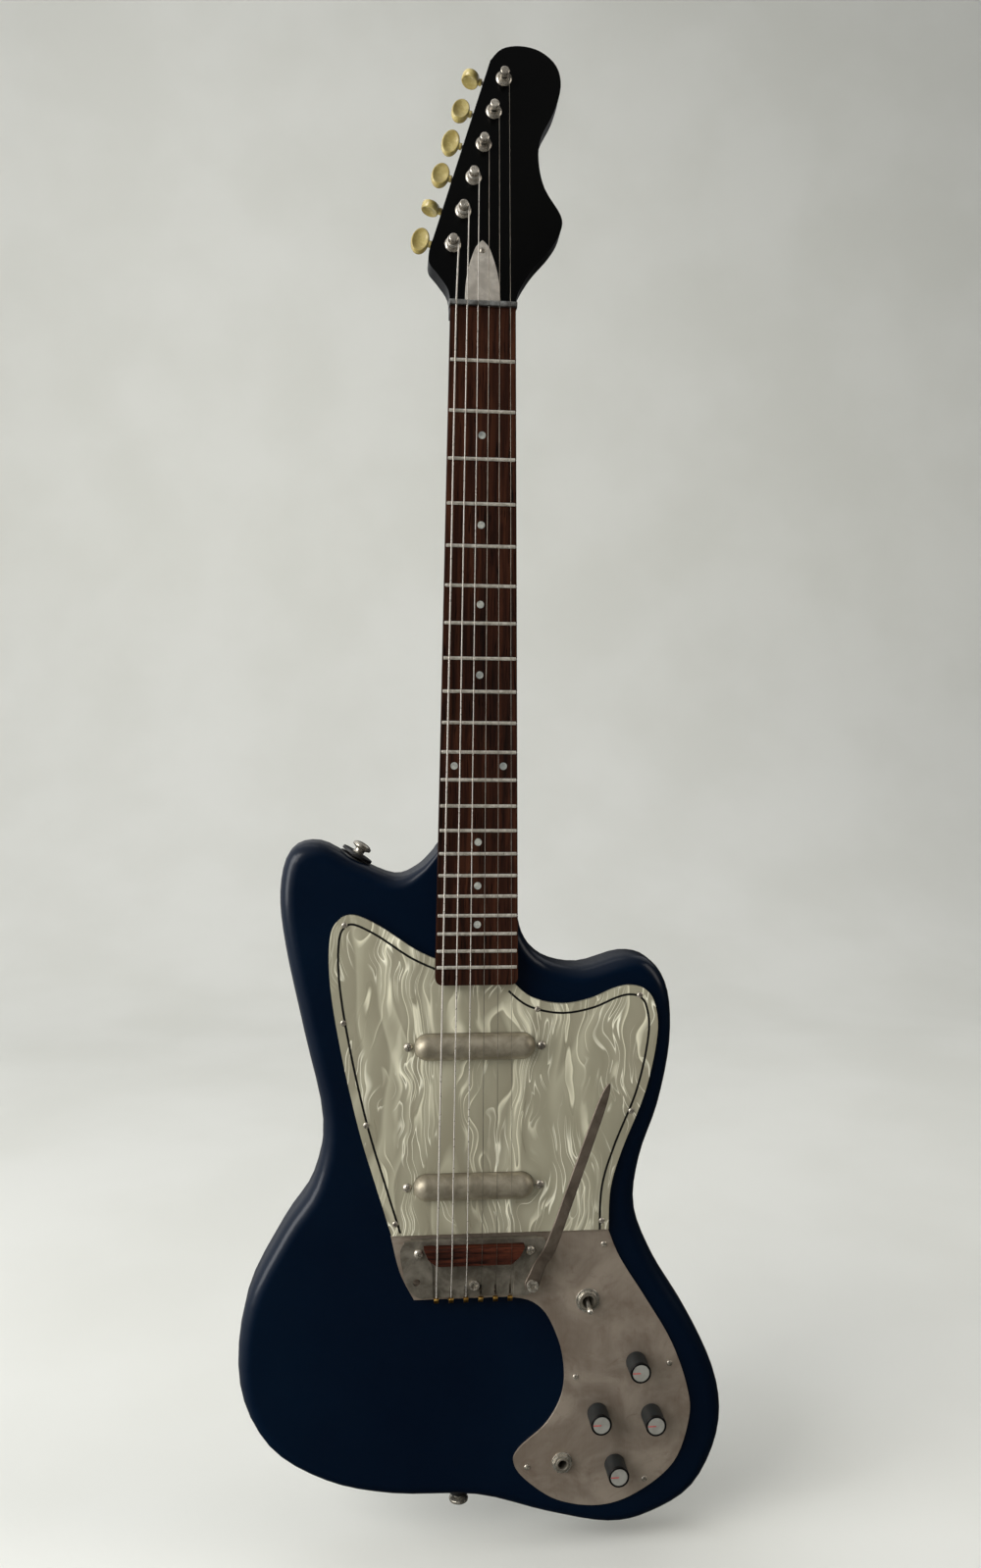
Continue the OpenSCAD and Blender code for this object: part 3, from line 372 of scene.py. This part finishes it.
dress("body", BODY_PAINT, 0, 34)
dress("neck", HEAD_PAINT, 0, 34)
dress("fretboard", ROSEWOOD, 0.25)
dress("frets", FRET_METAL, 0.3, 40)
dress("position_dots", PEARL_DOT, 0)
dress("nut", ALUMINIUM, 0.15)
dress("truss_rod", ROD, 0)
dress("truss_rod_cover", SATIN, 0.25)
dress("neck_plate", NICKEL, 0.4, 40, 3, True)
dress("pickguard", PEARLOID, 0.5, 40, 3, True)
dress("control_plate", BRUSHED, 0.3, 40, 2, True)
dress("pickguard_screws control_plate_screws truss_cover_screw tuner_screws", BRIGHT, 0)
dress("strap_screws neck_screws pivot_screws pickup_screws", BRIGHT, 0)
dress("pickup_covers", CHROME, 0)
dress("pickup_coils", COPPER, 0.2)
dress("pickup_magnets", MAGNET, 0.2)
dress("pickup_brackets", DULL, 0.2)
dress("pickup_springs", STEEL, 0, 60)
dress("tremolo_plate", DULL, 0.6, 40, 3, True)
dress("saddle", SADDLE_WOOD, 0.4, 30, 3)
dress("tension_screw arm_screw", BRIGHT, 0.25, 40)
dress("string_ball_ends", BRASS, 0.4, 40)
dress("strap_buttons", SHINE, 0, 50)
dress("strap_washers", RUBBER, 0.25, 40)
dress("switch_body potentiometers jack_body", DULL, 0.2, 40)
dress("switch_nut jack_nut pot_nuts", SHINE, 0.25, 40)
dress("switch_lever", SHINE, 0, 50)
dress(" ".join(f"tuner_post_{i}" for i in range(1, 7)), NICKEL, 0, 40)
dress("tuner_plates", NICKEL, 0.2, 40)
dress("tuner_bushings", NICKEL, 0.15, 50)


# ---- Mesh helpers ----
MESH_WELD = 0.000002


def finish_mesh(name, verts, faces, material, body, slot, replaced, split, place=None):
    """A new piece from points in millimetres. slot is not used. It rides on the body, or on none.
    split is the sharpest angle in degrees that stays smooth."""
    mesh = bpy.data.meshes.new(name)
    place = place or Matrix.Identity(4)
    mesh.from_pydata([(place @ Vector(v)) * MM for v in verts], [], faces)
    work = bmesh.new()
    work.from_mesh(mesh)
    bmesh.ops.remove_doubles(work, verts=work.verts, dist=MESH_WELD)
    bmesh.ops.recalc_face_normals(work, faces=work.faces)
    for face in work.faces:
        face.smooth = True
    work.to_mesh(mesh)
    work.free()
    mesh.materials.append(material)
    obj = bpy.data.objects.new(name, mesh)
    bpy.context.scene.collection.objects.link(obj)
    obj.modifiers.new("split", "EDGE_SPLIT").split_angle = math.radians(split)
    obj.modifiers.new("even", "WEIGHTED_NORMAL").weight = NORMAL_WEIGHT
    if body:
        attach(obj, body)
    if replaced:
        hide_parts(*replaced)
    return obj


def skin(loops):
    """Quads between equal closed loops, with capped ends."""
    n = len(loops[0])
    last = (len(loops) - 1) * n
    faces = []
    for k in range(len(loops) - 1):
        for i in range(n):
            a, b = k * n + i, k * n + (i + 1) % n
            faces.append((a, b, b + n, a + n))
    faces.append(tuple(range(n))[::-1])
    faces.append(tuple(last + i for i in range(n)))
    return [p for loop in loops for p in loop], faces


def joined(*parts):
    """Several (points, faces) as one."""
    verts, faces = [], []
    for v, f in parts:
        faces += [tuple(i + len(verts) for i in face) for face in f]
        verts += v
    return verts, faces


def lathe(profile, around):
    """A profile of (radius, z) turned about z, closed at both ends on the axis."""
    loops = [
        [(r * math.cos(TAU * i / around), r * math.sin(TAU * i / around), z) for i in range(around)]
        for r, z in profile
    ]
    return skin(loops)


def spline(points, steps):
    """An open Catmull-Rom curve through the points, as the CAD draws its outlines."""
    points = [Vector(p) for p in points]
    last = len(points) - 1

    def at(i):
        return points[min(max(i, 0), last)]

    out = []
    for i in range(last):
        a, b, c, d = at(i - 1), at(i), at(i + 1), at(i + 2)
        for k in range(steps):
            t = k / steps
            out.append(0.5 * (2 * b + (c - a) * t + (2 * a - 5 * b + 4 * c - d) * t * t
                              + (3 * b - a - 3 * c + d) * t ** 3))
    out.append(points[-1])
    return out


def tube(path, radius, around, up):
    """A round bar along a path that never runs parallel to up."""
    path = [Vector(p) for p in path]
    last = len(path) - 1
    loops = []
    for k, p in enumerate(path):
        t = (path[min(k + 1, last)] - path[max(k - 1, 0)]).normalized()
        side = t.cross(up).normalized()
        top = side.cross(t)
        turns = [TAU * q / around for q in range(around)]
        loops.append([p + radius * (math.cos(a) * side + math.sin(a) * top) for a in turns])
    return skin(loops)


# ---- Frames, as in the CAD ----
HEAD_TILT = 8
HEAD_FRONT = 5
TUNER_START = (-20, 45)
TUNER_ANGLE = math.radians(16.1)
TUNER_PITCH = 25.4
WORM_OFFSET = 6
WORM_DEPTH = 19.3
head_frame = (Matrix.Translation((0, HEAD_FRONT, 0))
              @ Matrix.Rotation(math.radians(90 - HEAD_TILT), 4, "X"))


def tuner_place(i):
    reach = (i - 1) * TUNER_PITCH
    x, y = TUNER_START
    return x + reach * math.sin(TUNER_ANGLE), y + reach * math.cos(TUNER_ANGLE)


def tuner_frame(i):
    x, y = tuner_place(i)
    return head_frame @ Matrix.Translation((x, y, 0)) @ Matrix.Rotation(-TUNER_ANGLE, 4, "Z")


def key_frame(i):
    return (tuner_frame(i) @ Matrix.Translation((0, WORM_OFFSET, -WORM_DEPTH))
            @ Matrix.Rotation(math.radians(-90), 4, "Y"))


def face_frame(x, level, z):
    """Local x is X, local y is Z, and local z comes forward from the level."""
    return Matrix.Translation((x, level, z)) @ Matrix.Rotation(math.radians(90), 4, "X")


# ---- Strings ----
RADII = [0.58, 0.46, 0.33, 0.22, 0.17, 0.13]
NUT_SPREAD = 36.4
SADDLE_SPREAD = 51.6
SADDLE_Z = -642.0
SADDLE_CROWN = -4.7
NUT_Y = -1.5
ANCHOR = (3.0, -680.2)
WRAPS = [2.5, 3, 3.5, 3.5, 4, 4]
WRAP_STEPS = 24
WRAP_PITCH = 2.1  # in string radii
WRAP_GAP = 0.15
WRAP_LEVEL = 5.6
POST_RADIUS = 3
STRING_STEPS = 26
STRING_SIDES = 10


def string_path(i):
    """Anchor, saddle, nut, then down around the post in close turns."""
    r = RADII[i]
    share = i / 5 - 0.5
    low, high = share * SADDLE_SPREAD, share * NUT_SPREAD
    crown = SADDLE_CROWN - r
    x, y = tuner_place(i + 1)
    reach = POST_RADIUS + r + WRAP_GAP
    path = [Vector((low, ANCHOR[0] - 0.5, ANCHOR[1] + 2.2)),
            Vector((low, crown + 0.7, SADDLE_Z - 4)),
            Vector((low, crown + 0.12, SADDLE_Z - 1)),
            Vector((low, crown, SADDLE_Z + 1))]
    end = Vector((high, NUT_Y, 0.5))
    start = path[-1]
    path += [start.lerp(end, k / STRING_STEPS) for k in range(1, STRING_STEPS)]
    path += [end, Vector((high, NUT_Y + 0.1, 3.5))]
    for k in range(int(WRAPS[i] * WRAP_STEPS) + 1):
        a = TAU * k / WRAP_STEPS
        level = WRAP_LEVEL - WRAP_PITCH * r * k / WRAP_STEPS
        path.append(head_frame @ Vector((x + reach * math.cos(a), y + reach * math.sin(a), level)))
    return path


HEAD_UP = (head_frame.to_3x3() @ Vector((0, 0, 1))).normalized()
for label, numbers, material in (("wound", (0, 1, 2), WOUND), ("plain", (3, 4, 5), STRING)):
    bars = [tube(string_path(i), RADII[i], STRING_SIDES, HEAD_UP) for i in numbers]
    strings = finish_mesh(f"strings_{label}", *joined(*bars), material, None, "string_steel",
                          (f"{label}_strings",), 60)
    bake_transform(strings)


# ---- The pickguard's black line ----
GUARD_LEFT = [(-57, -635.4), (-68, -600), (-80, -560), (-92, -508), (-100, -460), (-100.5, -428),
              (-95, -415), (-84, -411), (-66, -419), (-42, -435), (-24, -443.5)]
GUARD_RIGHT = [(27, -459.5), (40, -469.5), (60, -474), (80, -471), (97, -464), (109, -461.5),
               (120, -464.5), (127, -475), (129, -497), (121, -537), (105, -578), (97, -606),
               (96, -635.4)]
GUARD_STEPS = 10
GUARD_FRONT = 7.2
LINE_INSET = 6.4
LINE_WIDTH = 1.5
LINE_SUNK = 0.3
LINE_PROUD = 0.04


def inset(points, distance):
    """The open curve moved to its right-hand side, which is the guard's inside."""
    out = []
    last = len(points) - 1
    for i, p in enumerate(points):
        t = (points[min(i + 1, last)] - points[max(i - 1, 0)]).normalized()
        out.append(p + distance * Vector((t.y, -t.x)))
    return out


def ribbon(points):
    """A thin strip standing just proud of the guard, closed all round."""
    under, top = GUARD_FRONT + LINE_SUNK, GUARD_FRONT - LINE_PROUD
    outer = inset(points, LINE_INSET - LINE_WIDTH / 2)
    inner = inset(points, LINE_INSET + LINE_WIDTH / 2)
    return skin([[(a.x, under, a.y), (a.x, top, a.y), (b.x, top, b.y), (b.x, under, b.y)]
                 for a, b in zip(outer, inner)])


lines = [ribbon(spline(points, GUARD_STEPS)) for points in (GUARD_LEFT, GUARD_RIGHT)]
finish_mesh("guard_line", *joined(*lines), INLAY, "root", "pearloid", (), 30)


# ---- Knobs ----
KNOBS = [(117.5, -732.5), (90, -768.5), (129, -771), (103, -806.5)]
KNOB_RADIUS = 7.4
KNOB_HEIGHT = 16
KNOB_AROUND = 72
SHAFT_AROUND = 32
PLATE_FRONT = 8.6
KNOB_GAP = 0.5
for number, (x, z) in enumerate(KNOBS, 1):
    place = face_frame(x, PLATE_FRONT - KNOB_GAP, z)
    body = f"knob_{number}"
    r, h = KNOB_RADIUS, KNOB_HEIGHT
    side = lathe([(6, 0), (r - 0.15, 0), (r, 0.2), (r, h - 1.6)], KNOB_AROUND)
    finish_mesh(f"knob_side_{number}", *side, KNOB_SIDE, body, "knob_black", (body,), 40, place)
    rim = lathe([(r - 0.4, h - 1.7), (r, h - 1.6), (r, h - 0.5), (r - 0.12, h - 0.2), (r - 0.4, h),
                 (6.15, h), (5.95, h - 0.12), (5.95, h - 0.5)], KNOB_AROUND)
    finish_mesh(f"knob_rim_{number}", *rim, KNOB_RIM, body, "knob_black", (), 40, place)
    cap = lathe([(5.93, h - 0.55), (5.93, h - 0.16), (5.75, h - 0.08), (0.5, h - 0.06)],
                KNOB_AROUND)
    finish_mesh(f"knob_cap_{number}", *cap, KNOB_CAP, body, "knob_black", (), 40, place)
    mark = [[(-5.7, -0.32, level), (-0.2, -0.32, level), (-0.2, 0.32, level), (-5.7, 0.32, level)]
            for level in (h - 0.2, h)]
    finish_mesh(f"knob_mark_{number}", *skin(mark), KNOB_LINE, body, "knob_black", (), 30, place)
    shaft = lathe([(2.6, -8), (3, -7.6), (3, 6.5)], SHAFT_AROUND)
    finish_mesh(f"knob_shaft_{number}", *shaft, DULL, body, "nickel", (), 40, place)


# ---- Tuner keys: nickel shaft and worm, ivory button ----
BUTTON_TURNS = [0, 80, 6, -4, 10, 84]
BUTTON_MIDDLE = 24
BUTTON_HALF = (6.3, 9.2, 2.6)
BUTTON_RINGS = [(0.0, 0.56), (0.25, 0.58), (0.5, 0.68), (0.68, 0.84), (0.8, 0.96), (0.88, 1.0),
                (0.945, 0.88), (0.985, 0.55), (1.0, 0.0)]
BUTTON_AROUND = 48
BUTTON_CENTRE = 0.02
WORM_TURNS = 4
WORM_AROUND = 24
WORM_PITCH = TAU * 4.1 / 15
WORM_START = math.radians(270)
WORM_FADE = 10


def button_points():
    """An oval button with rounded rim and dished faces, its flat normal along x. Each ring is
    a share of the button's reach and of its half thickness."""
    out, along, thick = BUTTON_HALF
    angles = [TAU * k / BUTTON_AROUND for k in range(BUTTON_AROUND)]
    loops = []
    for sign, order in ((1, BUTTON_RINGS), (-1, BUTTON_RINGS[-2::-1])):
        for share, depth in order:
            share = max(share, BUTTON_CENTRE)
            loops.append([(sign * thick * depth, along * share * math.cos(a),
                           BUTTON_MIDDLE + out * share * math.sin(a)) for a in angles])
    return skin(loops)


def worm_points():
    """The worm's thread as one swept ridge along its core."""
    steps = WORM_TURNS * WORM_AROUND
    loops = []
    for k in range(steps + 1):
        turned = k / WORM_AROUND - WORM_TURNS / 2
        a = WORM_START + TAU * turned
        z = WORM_PITCH * turned
        fade = min(1, k / WORM_FADE, (steps - k) / WORM_FADE)
        tip = 1.3 + 1.0 * fade
        loops.append([(q * math.cos(a), q * math.sin(a), z + w)
                      for q, w in ((0.9, -0.48), (tip, -0.15), (tip, 0.15), (0.9, 0.48))])
    return skin(loops)


for i in range(1, 7):
    body = f"key_{i}"
    place = key_frame(i)
    shaft = lathe([(0.4, -7.6), (1.1, -7.5), (1.3, -7.2), (1.3, -4.8), (1.35, -4.6), (1.35, 4.6),
                   (1.3, 4.8), (1.3, 12.6), (1.7, 12.9), (1.7, 13.6), (1.3, 13.9), (1.3, 16.2),
                   (1.3, 20)], SHAFT_AROUND)
    finish_mesh(f"key_shaft_{i}", *joined(shaft, worm_points()), NICKEL, body, "nickel",
                (f"tuner_key_{i}",), 40, place)
    stem = lathe([(1.3, 15.8), (2.0, 15.8), (2.3, 16.0), (2.4, 16.5), (2.3, 17.6), (2.35, 19.5)],
                 SHAFT_AROUND)
    turn = Matrix.Rotation(math.radians(BUTTON_TURNS[i - 1]), 4, "Z")
    finish_mesh(f"key_button_{i}", *joined(button_points(), stem), BUTTON, body, "tuner_button",
                (), 50, place @ turn)


# ---- Tremolo spring: a coil of wire, attached to no body ----
SPRING_PLACE = (0.5, -669.5)
SPRING_FLOOR = 28
SPRING_LENGTH = 23.9
SPRING_GAP = 0.05
SPRING_RADIUS = 5
SPRING_WIRE = 0.7
SPRING_TURNS = 6
SPRING_AROUND = 30
SPRING_SIDES = 10


def spring_path():
    """The wire's middle line, in a frame with z along the spring."""
    steps = SPRING_AROUND * SPRING_TURNS
    path = []
    for k in range(steps + 1):
        a = TAU * k / SPRING_AROUND
        rise = SPRING_WIRE + (SPRING_LENGTH - 2 * SPRING_WIRE) * k / steps
        path.append((SPRING_RADIUS * math.cos(a), -SPRING_RADIUS * math.sin(a), rise))
    return path


x, z = SPRING_PLACE
coil = tube(spring_path(), SPRING_WIRE, SPRING_SIDES, Vector((0, 0, 1)))
spring = finish_mesh("tremolo_coil", *coil, STEEL, None, "rod_steel", ("tremolo_spring",), 60,
                     face_frame(x, SPRING_FLOOR - SPRING_GAP, z))
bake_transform(spring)


# ---- Tremolo arm: one bar from its round foot to its tip ----
ARM_PIVOT = (41, -670)
ARM_ANGLE = 19
ARM_SHEET = 2.2
ARM_SHAVE = 0.4
ARM_LEVEL = 22
ARM_ROUND = 0.8
ARM_STEPS = 4
BODY_FRONT = 10
# Each station is the distance along the arm, the height of its underside and its half width
ARM_STATIONS = [(-5.3, 8.2, 0.6), (-5, 8.2, 2.0), (-3.8, 8.2, 3.9), (-1.6, 8.2, 5.1), (1, 8.2, 5.3),
                (4, 8.25, 4.9), (7, 8.4, 4.6), (12, 9, 4.4), (17, 11, 4.2), (22, 14.8, 4.2),
                (28, 18.8, 4.2), (36, 21, 4.1), (50, 22, 3.9), (70, 22, 3.8), (90, 22, 3.7),
                (110, 22, 3.6), (125, 22, 3.5), (136, 22, 3.25), (143, 22, 2.9), (148, 22, 2.3),
                (151.5, 22, 1.5), (153.3, 22, 0.6)]


def arm_loop(along, height, half):
    """A flat bar's section with rounded sides."""
    r = min(ARM_ROUND, half * 0.6)
    low = min(height, ARM_LEVEL)
    side, under, top = half - r, low + r, low + ARM_SHEET - ARM_SHAVE - r
    out = []
    for x, z, start in ((side, top, 0), (-side, top, 90), (-side, under, 180), (side, under, 270)):
        for a in (0, 30, 60, 90):
            t = math.radians(start + a)
            out.append((x + r * math.cos(t), along, z + r * math.sin(t)))
    return out


stations = spline(ARM_STATIONS, ARM_STEPS)
arm_place = (face_frame(ARM_PIVOT[0], BODY_FRONT, ARM_PIVOT[1])
             @ Matrix.Rotation(math.radians(-ARM_ANGLE), 4, "Z"))
finish_mesh("arm_bar", *skin([arm_loop(*s) for s in stations]), ARM, "arm", "nickel",
            ("tremolo_arm",), 50, arm_place)


# ---- Stage, light and camera ----
FLOOR_LEVEL = -0.872
COVE_RADIUS = 1.1
COVE_STEPS = 24
WALL_PLACE = 2.6
WALL_TOP = 3.2
FLOOR_HALF = 7.0
FLOOR_FRONT = -7.0


def cove():
    """A pale floor that curves up into a far wall."""
    profile = [(FLOOR_FRONT, FLOOR_LEVEL)]
    for k in range(COVE_STEPS + 1):
        a = TAU / 4 * k / COVE_STEPS
        profile.append((WALL_PLACE - COVE_RADIUS * (1 - math.sin(a)),
                        FLOOR_LEVEL + COVE_RADIUS * (1 - math.cos(a))))
    profile.append((WALL_PLACE, WALL_TOP))
    mesh = bpy.data.meshes.new("floor")
    verts = [(x, y, z) for y, z in profile for x in (-FLOOR_HALF, FLOOR_HALF)]
    faces = [(2 * k, 2 * k + 1, 2 * k + 3, 2 * k + 2) for k in range(len(profile) - 1)]
    mesh.from_pydata(verts, [], faces)
    for face in mesh.polygons:
        face.use_smooth = True
    obj = bpy.data.objects.new("floor", mesh)
    f = Finish("floor_paint")
    cloud = f.noise(3.0, 3, 0.5)
    f.colour(f.mix(f.span(cloud, 0.3, 0.7), linear(224, 224, 217), linear(230, 230, 224)))
    f.roughness(f.span(cloud, 0.3, 0.7, 0.8, 0.9, False))
    f.bump(f.noise(180.0, 4, 0.6), 0.0004, 0.25)
    mesh.materials.append(f.material)
    bpy.context.scene.collection.objects.link(obj)
    obj.visible_glossy = False


def area(name, place, aim, size, power, colour):
    data = bpy.data.lights.new(name, "AREA")
    data.shape, data.size, data.size_y = "RECTANGLE", size[0], size[1]
    data.energy, data.color = power, colour
    obj = bpy.data.objects.new(name, data)
    obj.location = place
    obj.rotation_euler = (Vector(aim) - Vector(place)).to_track_quat("-Z", "Y").to_euler()
    obj.visible_camera = False
    bpy.context.scene.collection.objects.link(obj)


def world():
    """A pale room to the eye; for light and reflections, brighter above and to the left."""
    made = bpy.data.worlds.new("world")
    bpy.context.scene.world = made
    made.use_nodes = True
    tree = made.node_tree
    tree.nodes.clear()
    new, link = tree.nodes.new, tree.links.new
    out = new("ShaderNodeOutputWorld")
    mixed = new("ShaderNodeMixShader")
    seen, felt = new("ShaderNodeBackground"), new("ShaderNodeBackground")
    seen.inputs[0].default_value = linear(206, 207, 203)
    rays = new("ShaderNodeLightPath")
    place = new("ShaderNodeTexCoord")
    lean = new("ShaderNodeVectorMath")
    lean.operation = "DOT_PRODUCT"
    lean.inputs[1].default_value = (-0.75, 0.15, 0.6)
    ramp = new("ShaderNodeValToRGB")
    ramp.color_ramp.elements[0].position = 0.5
    ramp.color_ramp.elements[0].color = (0.02, 0.0195, 0.018, 1)
    ramp.color_ramp.elements[1].position = 1.0
    ramp.color_ramp.elements[1].color = (1.0, 1.02, 1.04, 1)
    shift = new("ShaderNodeMath")
    shift.operation = "MULTIPLY_ADD"
    shift.inputs[1].default_value = 0.5
    shift.inputs[2].default_value = 0.5
    link(place.outputs["Generated"], lean.inputs[0])
    link(lean.outputs["Value"], shift.inputs[0])
    link(shift.outputs[0], ramp.inputs[0])
    link(ramp.outputs[0], felt.inputs[0])
    link(rays.outputs["Is Camera Ray"], mixed.inputs[0])
    link(felt.outputs[0], mixed.inputs[1])
    link(seen.outputs[0], mixed.inputs[2])
    link(mixed.outputs[0], out.inputs[0])


cove()
world()
area("window", (-1.9, -1.5, 0.9), (0, 0, -0.45), (1.3, 1.6), 38, (1.0, 0.99, 0.97))
area("side", (-2.1, -0.6, 0.0), (0, 0, -0.55), (0.9, 1.7), 34, (0.98, 0.99, 1.0))
area("fill", (1.9, -0.55, 0.5), (0.05, 0, -0.5), (0.8, 1.6), 11, (1.0, 0.96, 0.91))
area("rear", (1.3, 1.2, 0.9), (0, 0, -0.45), (1.2, 1.4), 3.5, (0.98, 0.99, 1.0))
area("back_wall", (-0.6, 1.0, 1.8), (0.2, 2.4, 0.1), (2.0, 1.0), 6, (0.99, 0.99, 1.0))

camera = bpy.data.objects.new("camera", bpy.data.cameras.new("camera"))
camera.location = (-0.0729, -0.7992, -0.2863)
camera.rotation_euler = [math.radians(a) for a in (87.5799, -0.5795, -5.7655)]
camera.data.lens = 27.04
camera.data.sensor_width = 36
camera.data.clip_start = 0.01
camera.data.clip_end = 60
bpy.context.scene.collection.objects.link(camera)
bpy.context.scene.camera = camera
bpy.context.scene.view_settings.view_transform = "Standard"
